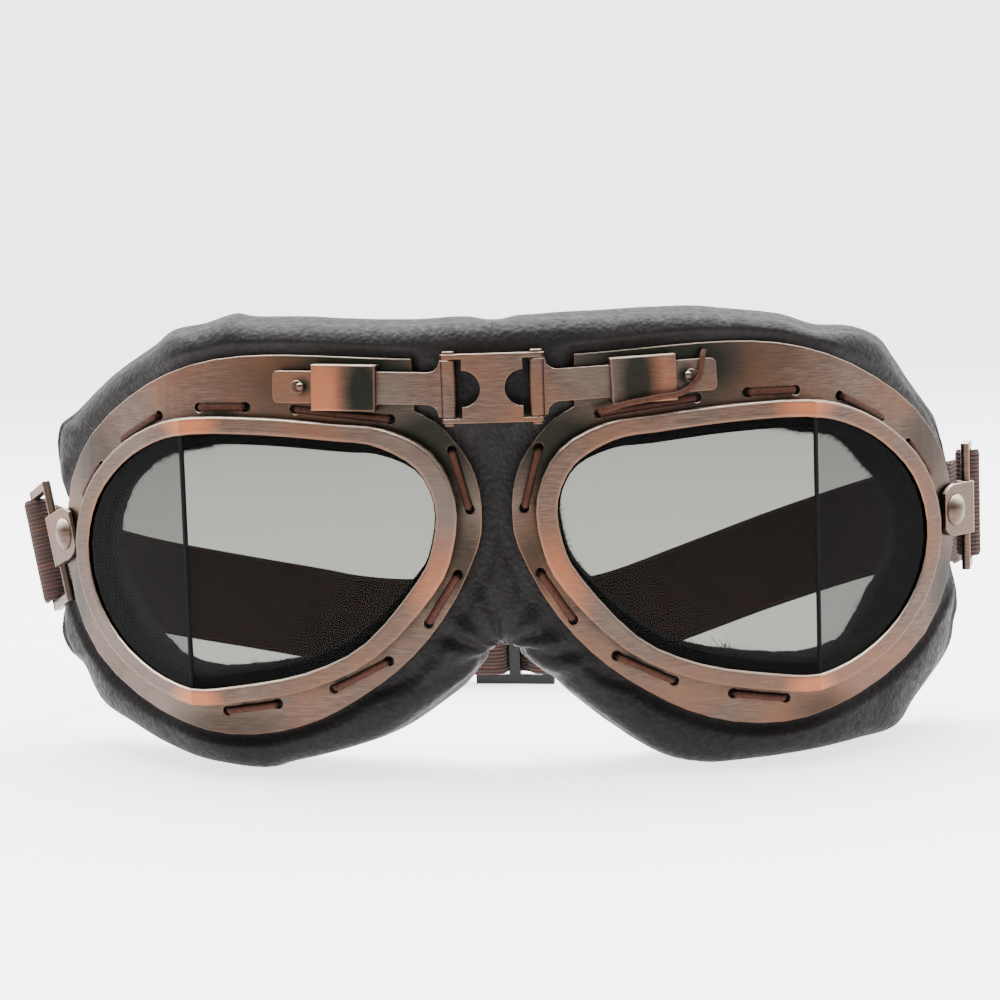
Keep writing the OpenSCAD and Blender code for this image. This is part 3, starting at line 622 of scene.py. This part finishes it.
def half_mask(side):
    """One half of the padded mask, lofted in rows: out over the front, round the edge, in over the back."""
    outline = np.array(OUTLINE_RIGHT if side > 0 else OUTLINE_LEFT, float)
    rim = even(curve(outline, 10), 300)
    closing = np.stack([np.zeros(CLOSING), np.linspace(NOSE_FOOT, NOSE_TOP, CLOSING)], 1)
    loop = np.concatenate([rim, closing[1:-1]])
    d = loop - CENTRE
    angle = np.arctan2(d[:, 1], d[:, 0])
    outer = np.hypot(d[:, 0], d[:, 1])
    inner = reach(OPENING, angle)
    flange = reach(FLANGE_OUTER, angle)
    unit = d / outer[:, None]
    closing_column = np.arange(len(loop)) >= len(rim)
    columns = len(loop)

    def base(x, z=0):
        by_bracket = np.clip((x - 96) / 3, 0, 1) * np.clip((9.5 - abs(z - 51)) / 2, 0, 1)
        low = NOSE_HOLLOW * np.clip((16 - x) / 8, 0, 1) + BRACKET_HOLLOW * by_bracket
        x = np.sqrt(x * x + 16)     # so that the two halves meet without a corner
        return sheet_y(x) + BEHIND_SHEET / np.cos(sheet_yaw(x)) + low

    def rounded(gap, radius):
        bend = np.clip(1 - gap / radius, 0, 1)
        return radius * (1 - np.sqrt(np.maximum(1 - bend ** 2, 0)))

    rows = []

    def row(r, depth, edge, push=None):
        p = CENTRE + unit * r[:, None]
        at_outline = abs(r[0] - outer[0]) < 1e-9
        if push is not None:
            p = p + unit * push[:, None]
        if at_outline:
            p[closing_column, 0] = 0
            p[0, 0] = p[len(rim) - 1, 0] = 0
        y = depth(p[:, 0], p[:, 1], to_edge(side, p))
        rows.append(np.stack([p[:, 0], y, p[:, 1], np.broadcast_to(edge, (columns,))], 1))

    near_nose = np.minimum(np.abs(loop[:, 0]) / 6, 1)
    near_nose *= np.where(loop[:, 0] > 95, np.clip((abs(loop[:, 1] - 50) - 14) / 8, 0, 1), 1)
    nose_side = np.clip((22 - loop[:, 0]) / 10, 0, 1) * np.clip((88 - loop[:, 1]) / 6, 0, 1)
    thick = back_y(loop[:, 0]) - base(*loop.T)
    round_front = np.minimum(FRONT_ROUND, 0.42 * thick)
    round_back = np.minimum(BACK_ROUND, 0.36 * thick)
    for s in 1 - np.linspace(1, 0, FRONT_ROWS) ** 1.5:
        r = inner + (outer - inner) * s
        lift = smooth((r - flange - 0.2 - 2.6 * nose_side) / 3.0) * (LIFT - LESS_AT_NOSE * nose_side)
        edge = smooth((r - flange) / 5) * (1 - 0.5 * s ** 6)
        row(r, lambda x, z, gap: base(x, z) - lift + rounded(gap, round_front), edge)
    front_edge = base(*loop.T) - LIFT + LESS_AT_NOSE * nose_side + round_front
    back_edge = back_y(loop[:, 0]) - round_back
    for s in np.linspace(0, 1, SIDE_ROWS + 2)[1:-1]:
        bulge = 1.3 * math.sin(math.pi * s) * near_nose * np.where(closing_column, 0, 1)
        row(outer, lambda x, z, gap: front_edge + (back_edge - front_edge) * s, 0.6, bulge)
    for s in np.linspace(0, 1, BACK_ROWS) ** 1.5:
        r = outer + (inner - outer) * s
        drop_in = rounded(r - inner, 4) * 0.75
        row(r, lambda x, z, gap: back_y(np.maximum(x, 3)) - rounded(gap, round_back) - drop_in, 0.2)
    for s in (0.35, 0.7):
        row(inner, lambda x, z, gap: (back_y(x) - 3) * (1 - s) + base(x) * s, 0)
    a = np.array(rows)
    side_rows = range(FRONT_ROWS - 1, FRONT_ROWS + SIDE_ROWS)   # left open where the two halves meet
    points = a.reshape(-1, 4)

    def skip(i, j):
        k = (j + 1) % columns
        return i in side_rows and (closing_column[j] or closing_column[k])

    faces = grid_faces(len(rows), columns, True, True, skip)
    # push the surface out along its own direction by the wrinkles
    g = a[..., :3]
    du = np.roll(g, -1, 1) - np.roll(g, 1, 1)
    dv = np.roll(g, -1, 0) - np.roll(g, 1, 0)
    n = np.cross(du, dv)
    n /= np.maximum(np.linalg.norm(n, axis=2), 1e-9)[..., None]
    if n[10, 20, 1] > 0:
        n = -n
    for j in (0, len(rim) - 1):
        k = 1 if j == 0 else j - 1
        n[:, j] = n[:, k]
    wrinkled = []
    for (x, y, z, e), m in zip(points, n.reshape(-1, 3)):
        w = wrinkle(side * x, y, z, e) * (0.25 + 0.75 * min(max(e, 0), 1))
        if abs(x) < 1e-6:       # the middle stays in its plane
            m = np.array([0, m[1], m[2]]) / max(math.hypot(m[1], m[2]), 1e-6)
        q = np.array([x, y, z]) + m * w
        q[2] = max(q[2], LOWEST)
        wrinkled.append((side * q[0], q[1], q[2]))
    used = sorted({v for f in faces for v in f})
    index = {v: i for i, v in enumerate(used)}
    return [wrinkled[v] for v in used], [tuple(index[v] for v in f) for f in faces]


mask_points, mask_faces = [], []
for side in (-1, 1):
    half_points, half_faces = half_mask(side)
    mask_faces += [tuple(v + len(mask_points) for v in q) for q in half_faces]
    mask_points += half_points
whole = build("mask_whole", mask_points, mask_faces, LEATHER)


def cut(source, name, low, high):
    """The part of a mesh between two planes across X, in mm."""
    me = source.data.copy()
    bm = bmesh.new()
    bm.from_mesh(me)
    for x, sign in ((low, -1), (high, 1)):
        if x is None:
            continue
        bmesh.ops.bisect_plane(bm, geom=bm.verts[:] + bm.edges[:] + bm.faces[:], plane_co=(x * MM, 0, 0),
                               plane_no=(sign, 0, 0), clear_outer=True, dist=1e-7)
    bm.to_mesh(me)
    bm.free()
    me.polygons.foreach_set("use_smooth", [True] * len(me.polygons))
    o = bpy.data.objects.new(name, me)
    scene.collection.objects.link(o)
    return o


for name, low, high, a, b, x0, x1, old in (
        ("mask_lobe_left", None, -9, "arm_left", "frame_left", -9.5, -19, ["mask_left"]),
        ("mask_nose_left", -9, 0, "bridge", "arm_left", -0.5, -8.5, ["nose_gusset"]),
        ("mask_nose_right", 0, 9, "bridge", "arm_right", 0.5, 8.5, ["nose_gusset"]),
        ("mask_lobe_right", 9, None, "arm_right", "frame_right", 9.5, 19, ["mask_right"])):
    o = cut(whole, name, low, high)
    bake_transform(o)
    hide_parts(*old)
bpy.data.objects.remove(whole)


# ---------------------------------------------------------------- fleece inside the mask
def by_angle(loop, values):
    """Values along an outline, in order of their direction from CENTRE."""
    d = loop - CENTRE
    a = np.arctan2(d[:, 1], d[:, 0])
    o = np.argsort(a)
    return a[o], values[o]


FIBRES = 9000
WIDENING = 1.2      # how much wider the fleece gets on its way back


def fleece(side, word):
    """The fleece inside one eye's opening: from the rim back through the mask and over its back edge."""
    n = 420
    loop = even(np.concatenate([OPENING, OPENING[:1]]), n + 1)[:-1]
    d = loop - CENTRE
    angle = np.arctan2(d[:, 1], d[:, 0])
    unit = d / np.hypot(d[:, 0], d[:, 1])[:, None]
    r0 = reach(OPENING, angle)
    # how far the fleece shows inside the rim, which is most at the outer end
    x, z = RIM_INNER.T
    below = (4.1 - 3 * np.clip((90 - x) / 14, 0, 1)) * smooth((x - 26) / 20)
    deep = np.where(z > 48, 3.9 * smooth((x - 46) / 22), below)
    if word == "right":
        deep = deep + 3 * smooth((x - 74) / 14)
    t = np.roll(RIM_INNER, -1, 0) - np.roll(RIM_INNER, 1, 0)
    inward = np.stack([-t[:, 1], t[:, 0]], 1) / np.linalg.norm(t, axis=1)[:, None]
    r1 = reach(RIM_INNER + (deep - 0.1)[:, None] * inward, angle)
    rows = []

    def row(r, depth):
        p = CENTRE + unit * r[:, None]
        rows.append(np.stack([p[:, 0], depth(p[:, 0]), p[:, 1]], 1))

    def front(x):
        return crease_y(x) + 5.2

    spread = 5.5 * np.clip((loop[:, 0] - 12) / 14, 0.12, 1)
    for s in np.linspace(0, 1, 8):
        row(r0 + (r1 - r0) * s, lambda x: front(x) + 0.8 * (1 - s))
    for s in np.linspace(0, 1, 16)[1:]:
        row(r1 + WIDENING * s ** 3, lambda x: front(x) + (back_y(x) - 0.4 - front(x)) * s)
    for s in np.linspace(0, 1, 9)[1:]:
        row(r1 + WIDENING + (r0 + spread - r1 - WIDENING) * s,
            lambda x: back_y(np.clip(x, 8, 103)) + 1.3 * np.sin(math.pi * s) ** 0.8 - 1.2 * s)
    a = np.array(rows)
    points = []
    rough = 0.3 + 0.7 * np.clip(np.interp(angle, *by_angle(RIM_INNER, deep)) / 1.5, 0, 1)
    for i, r in enumerate(a):
        for (x, y, z), much in zip(r, rough):
            v = Vector((x, y, z))
            k = (0.35 * noise.noise(v / 1.1) + 0.45 * noise.noise(v / 3)) * much + 0.15 * (1 - much)
            u = np.array([x - CENTRE[0], 0, z - CENTRE[1]])
            u /= np.linalg.norm(u)
            back = 0.4 * noise.noise(v / 1.3 + Vector((5, 5, 5)))
            q = np.array([x, y, z]) - u * k + [0, back, 0]
            points.append((side * q[0], q[1], q[2]))
    o = build("lining_fleece_" + word, points, grid_faces(len(a), n, False, True), FLEECE, "frame_" + word)
    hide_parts("lining_" + word)
    # short fibres that stand up from it, most of all on the rows that the front view shows
    p, f = [], []
    g = np.array(points).reshape(len(a), n, 3)
    for _ in range(FIBRES):
        i = int(rng.integers(3, len(a) - 1))
        if rng.random() < 0.45:
            i = int(rng.integers(6, 10))
        j = int(rng.integers(0, n))
        c = g[i, j]
        toward = np.array([side * CENTRE[0], c[1], CENTRE[1]]) - c
        toward /= np.linalg.norm(toward)
        if i > 22:
            toward = toward * 0.3 + np.array([0, 1, 0])
        tip = c + (toward + rng.normal(0, 0.55, 3)) * rng.uniform(0.35, 1.0)
        w = np.cross(toward, rng.normal(0, 1, 3))
        w *= 0.06 / max(np.linalg.norm(w), 1e-6)
        k = len(p)
        p += [tuple(c - w), tuple(c + w), tuple(tip)]
        f.append((k, k + 1, k + 2))
    h = build("lining_fuzz_" + word, p, f, FLEECE, "frame_" + word, tidy=False)


fleece(-1, "left")
fleece(1, "right")


# a loose wisp at the lower edge of the right eye
wisp, wisp_faces = [], []
for _ in range(13):
    foot = np.array([50 + rng.uniform(-1.6, 1.6), 29.5, 20.5])
    tip = foot + [rng.uniform(-3.4, 3.4), rng.uniform(-1, 0.5), rng.uniform(1.5, 4.6)]
    bend = rng.uniform(-0.9, 0.9)
    for i, t in enumerate(np.linspace(0, 1, 7)):
        c = foot + (tip - foot) * t + [bend * math.sin(math.pi * t), 0, 0]
        w = 0.13 * (1 - 0.7 * t)
        wisp += [tuple(c + [-w, 0, 0]), tuple(c + [w, 0, 0.05]), tuple(c + [0, w, 0])]
        if i:
            n = len(wisp)
            for a in range(3):
                b = (a + 1) % 3
                wisp_faces.append((n - 6 + a, n - 6 + b, n - 3 + b, n - 3 + a))
build("lining_wisp", wisp, wisp_faces, FLEECE, "frame_right", tidy=False)


# ---------------------------------------------------------------- laces
def tube(name, path, material, body, wide, thin, sides=12):
    """A cord along a path; wide and thin are its half sizes, one number or one for each place."""
    t = np.gradient(path, axis=0)
    t /= np.linalg.norm(t, axis=1)[:, None]
    wide, thin = np.broadcast_to(wide, len(path)), np.broadcast_to(thin, len(path))
    points = []
    last = None
    for i, (p, u) in enumerate(zip(path, t)):
        b = np.cross(u, (0, 1, 0))
        if np.linalg.norm(b) < 0.25:
            b = last if last is not None else np.cross(u, (1, 0, 0))
        b = b - u * b.dot(u)
        b /= np.linalg.norm(b)
        if last is not None and b.dot(last) < 0:
            b = -b
        last = b
        c = np.cross(b, u)
        for k in range(sides):
            q = 2 * math.pi * k / sides
            points.append(tuple(p + wide[i] * math.cos(q) * b + thin[i] * math.sin(q) * c))
    faces = grid_faces(len(path), sides, False, True)
    faces.append(tuple(range(sides))[::-1])
    faces.append(tuple(range((len(path) - 1) * sides, len(path) * sides)))
    return build(name, points, faces, material, body)


def on_sheet(q, front):
    """A place this far in front of the sheet at (x, z), with that distance kept as its fourth value."""
    x, y = behind(q[0], -front)
    return (x, y, q[1], front)


def between(a, b, t):
    return (a[0] + (b[0] - a[0]) * t, a[1] + (b[1] - a[1]) * t)


def lace_path():
    """The lacing of one frame: out of a hole, along the front, into the next, and on behind the sheet."""
    path = []
    for i in range(0, len(HOLES), 2):
        a, b = HOLES[i], HOLES[i + 1]
        gap = math.dist(a, b)
        e = 1.3 / gap
        path += [on_sheet(a, -0.9), on_sheet(between(a, b, e * 0.45), 0.35), on_sheet(between(a, b, e), 0.7),
                 on_sheet(between(a, b, 0.5), 0.8), on_sheet(between(a, b, 1 - e), 0.7),
                 on_sheet(between(a, b, 1 - e * 0.45), 0.35), on_sheet(b, -0.9)]
        if i + 2 < len(HOLES):
            c = HOLES[i + 2]
            g = 1.4 / math.dist(b, c)
            path += [on_sheet(between(b, c, g), -1.9), on_sheet(between(b, c, 0.5), -2.0),
                     on_sheet(between(b, c, 1 - g), -1.9)]
    return path


for side, word in ((-1, "left"), (1, "right")):
    path = curve(lace_path(), 6)
    thick = 0.5 + 0.5 * smooth((path[:, 3] + 0.9) / 1.5)    # half as thick inside the holes
    o = tube("lace_cord_" + word, path[:, :3] * [side, 1, 1], CORD, "frame_" + word,
             0.8 * thick, 0.6 * thick)
    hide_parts("lace_" + word)
TAIL = [(22.5, -1.4, 79.6), (24.5, -2.8, 79.8), (28, -3.8, 80.9), (32, -4, 81.6), (36, -3.4, 82.2),
        (39.5, -1.5, 82.6), (42, 0.4, 83.8), (44, 1, 86), (44.6, 1.4, 88.3), (44.9, 2.2, 90.4),
        (45.2, 3.6, 91.3), (45.4, 4.9, 91)]
o = tube("lace_tail", curve(TAIL, 6), CORD, "frame_right", 0.62, 0.5)
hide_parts("lace_end")


# ---------------------------------------------------------------- studs on the arms
STUD_RADIUS, STUD_OUTWARD = 0.85, 0.5
for arm, c in STUDS.items():
    centre = c + np.array([math.copysign(STUD_OUTWARD * MM, c[0]), 0, 0])
    bpy.ops.mesh.primitive_uv_sphere_add(radius=STUD_RADIUS * MM, segments=24, ring_count=16,
                                         location=tuple(centre))
    o = bpy.context.object
    o.name = "stud_" + arm[4:]
    o.scale = (1, 0.55, 1)
    o.data.materials.append(COPPER_BRIGHT)
    o.data.polygons.foreach_set("use_smooth", [True] * len(o.data.polygons))
    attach(o, arm)


# ---------------------------------------------------------------- the strap
RIVET_X, RIVET_Z = 102.7, 51.5
RIVET_Y = float(sheet_y(RIVET_X))
HINGE_OUT, HINGE_BACK = 7.2, 0.5        # the ring's hinge from the rivet, along the bracket and square to it
RING_REACH = 9                          # from the ring's hinge to the bar that the strap goes round
BAR_RADIUS = 2.15                       # of the strap's middle, round that bar
BRACKET_COS, BRACKET_SIN = math.cos(math.radians(50)), math.sin(math.radians(50))
# how far the strap's left end leans for each millimetre of height, as its bracket droops by 20 degrees
LEAN = math.tan(math.radians(20)) * np.array([-BRACKET_COS, BRACKET_SIN])
SLIDER_X, SLIDER_Y, SLIDER_YAW = -2, 112, math.radians(171)


def ring_bar(droop, yaw, side):
    """Where the ring's outer bar stands at rest, for the bracket's droop and the ring's turn in degrees."""
    x = HINGE_OUT + RING_REACH * math.cos(math.radians(yaw))
    y = HINGE_BACK + RING_REACH * math.sin(math.radians(yaw))
    c, s = math.cos(math.radians(droop)), math.sin(math.radians(droop))
    return (side * (RIVET_X + x * c * BRACKET_COS - y * BRACKET_SIN),
            RIVET_Y + x * c * BRACKET_SIN + y * BRACKET_COS, RIVET_Z - x * s)


def wrapped(bar, lean):
    """The strap's points round the outer side of a ring's bar."""
    around = []
    for a in range(180, 361, 45):
        x, y = BAR_RADIUS * math.cos(math.radians(a)), BAR_RADIUS * math.sin(math.radians(a))
        around.append((bar[0] + x, bar[1] + y, bar[2] - lean * (x * LEAN[0] + y * LEAN[1]), lean))
    return around


def by_slider(t, n, z):
    """A place t along and n across the slider, with no lean."""
    c, s = math.cos(SLIDER_YAW), math.sin(SLIDER_YAW)
    return (SLIDER_X + t * c + n * s, SLIDER_Y + t * s - n * c, z, 0)


# each strap's control points are (x, y, z, lean), with lean from 0, upright, to 1
STRAP_RIGHT = ([(107.9, 71, 47.2, 0), (108.3, 65, 49, 0), (107.4, 59.5, 50.8, 0)]
               + wrapped(ring_bar(0, 28, 1), 0)
               + [(110.9, 60, 50.8, 0), (110.4, 67, 49, 0), (108.8, 74, 47.4, 0), (103, 84, 45.2, 0),
                  (90, 93, 41.6, 0), (67, 100, 33.6, 0), (44, 103.5, 25, 0), by_slider(-26, -1.5, 17.5),
                  by_slider(-14, -2.2, 15.5),
                  by_slider(-8, -2.2, 15.5), by_slider(-5.6, -1.4, 15.5), by_slider(-3.6, 1.4, 15.5),
                  by_slider(-1.2, 2.2, 15.5), by_slider(1.2, 2.2, 15.5), by_slider(2.6, 1.2, 15.5),
                  by_slider(2.9, -1.6, 15.5), by_slider(4.2, -3.6, 15.5), by_slider(8, -4.1, 15.5),
                  by_slider(20, -4.1, 15.5), by_slider(30, -2.9, 15.5), by_slider(42, -2.1, 16.5),
                  by_slider(52, -2.1, 18.4)])
STRAP_LEFT = ([by_slider(18, -2.2, 15.5), by_slider(9.6, -2.2, 15.5), by_slider(7.4, -2, 15.5),
               by_slider(6.2, -0.9, 15.5), by_slider(6.2, 0.9, 15.5), by_slider(7.4, 2, 15.5),
               by_slider(9.6, 2.2, 15.5), by_slider(18, 1.6, 15.5), by_slider(30, 0, 15.5),
               by_slider(42, 0, 16.5), by_slider(52, 0, 18.4), (-72, 118, 22.5, 0.1),
               (-95, 103, 30, 0.3), (-108, 83, 38, 0.6),
               (-112.4, 68, 43, 0.9), (-113.8, 58, 45.6, 1)] + wrapped(ring_bar(20, 5, -1), 1)
              + [(-110.4, 58, 45.6, 1), (-110.1, 64, 44, 0.95), (-108.7, 70, 42, 0.8)])
HALF_WIDE, HALF_THICK = 12.5, 0.68
THIN_FROM = 0.93        # the band thins from here to its edge, which is at 1


def strap(name, control, parts, old):
    """A band along control points, cut into parts: (first, last point, body or two bodies)."""
    per = 8
    p = curve(control, per)
    t = np.gradient(p[:, :2], axis=0)
    t /= np.linalg.norm(t, axis=1)[:, None]
    length = np.r_[0, np.cumsum(np.linalg.norm(np.diff(p[:, :3], axis=0), axis=1))]
    across = np.linspace(-1, 1, 29)
    section = ([(v, 1) for v in across] + [(v, -1) for v in across[::-1]])
    points, uv = [], []
    for i in range(len(p)):
        n = np.array([-t[i, 1], t[i, 0], 0])
        w = np.array([p[i, 3] * LEAN[0], p[i, 3] * LEAN[1], 1])
        w /= np.linalg.norm(w)
        for v, f in section:
            edge = 1 - 0.45 * max(abs(v) - THIN_FROM, 0) / (1 - THIN_FROM)
            sag = 0.25 * noise.noise(Vector((length[i] / 14, v * 1.2, 3))) if i > 4 else 0
            points.append(p[i, :3] + n * (f * HALF_THICK * edge + sag * 0.6) + w * HALF_WIDE * v)
            uv.append((length[i] / (2 * HALF_WIDE), (v + 1) / 2))
    points = np.array(points)
    k = len(section)
    for number, (first, last, bodies) in enumerate(parts):
        i0 = first * per
        i1 = min(last * per, len(p) - 1)
        chosen = points[i0 * k:(i1 + 1) * k]
        faces = grid_faces(i1 - i0 + 1, k, False, True)
        if first == 0:
            faces.append(tuple(range(k))[::-1])
        if i1 == len(p) - 1:
            faces.append(tuple(range((i1 - i0) * k, (i1 - i0 + 1) * k)))
        o = build(f"{name}_{number}", chosen, faces, ELASTIC, bodies if isinstance(bodies, str) else None,
                  uv[i0 * k:(i1 + 1) * k])
        if not isinstance(bodies, str):
            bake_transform(o)
        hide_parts(old)


nr = 3 + 5      # the right strap's points before it leaves the ring
strap("strap_band_right", STRAP_RIGHT, [
    (0, nr + 1, "ring_right"), (nr + 1, nr + 2, ("ring_right", "bracket_right")),
    (nr + 2, nr + 3, ("bracket_right", "frame_right")), (nr + 3, nr + 4, ("frame_right", "arm_right")),
    (nr + 4, nr + 7, ("arm_right", "bridge")), (nr + 7, 99, "bridge")], "strap_right")
strap("strap_band_left", STRAP_LEFT, [
    (0, 8, "bridge"), (8, 12, ("bridge", "arm_left")), (12, 13, ("arm_left", "frame_left")),
    (13, 14, ("frame_left", "bracket_left")), (14, 15, ("bracket_left", "ring_left")),
    (15, 99, "ring_left")], "strap_left")


# ---------------------------------------------------------------- floor and light
FLOOR_SIZE, FLOOR_GLOW, SKY_GLOW = 24, 2.3, 4.0      # the size in metres
bpy.ops.mesh.primitive_plane_add(size=FLOOR_SIZE, location=(0, 0, 0))
floor = bpy.context.object
floor.name = "floor"
paper, paper_tree, paper_out = tree("floor")
paint = node(paper_tree, "BsdfPrincipled")
paint.inputs["Base Color"].default_value = (0.7, 0.7, 0.7, 1)
paint.inputs["Roughness"].default_value = 0.95
paint.inputs["Emission Color"].default_value = (1, 1, 1, 1)
paint.inputs["Emission Strength"].default_value = FLOOR_GLOW
link(paper_tree, paint, "BSDF", paper_out, "Surface")
floor.data.materials.append(paper)
# the sky is bright behind the goggles and dim in front of them
world = bpy.data.worlds.new("world")
scene.world = world
world.use_nodes = True
wt = world.node_tree
split = node(wt, "SeparateXYZ")
link(wt, node(wt, "TexCoord"), "Generated", split, "Vector")
half = math_node(wt, "MULTIPLY_ADD", (split, "Y"), 0.5, 0.5)
glow = ramp(wt, half, "Value", [(0.0, 0.06), (0.35, 0.1), (0.65, 0.75), (1.0, 1.0)])
link(wt, glow, "Color", wt.nodes["Background"], "Color")
wt.nodes["Background"].inputs["Strength"].default_value = SKY_GLOW

LAMP_AT, LAMP_AIM = Vector((-0.05, 0.22, 1.0)), Vector((0, 0, 0.05))      # metres
light = bpy.data.lights.new("key_top", "AREA")
light.shape = "RECTANGLE"
light.size, light.size_y = 1.4, 0.9
light.energy = 58
lamp = bpy.data.objects.new("key_top", light)
lamp.location = LAMP_AT
lamp.rotation_euler = (LAMP_AIM - LAMP_AT).to_track_quat("-Z", "Y").to_euler()
scene.collection.objects.link(lamp)
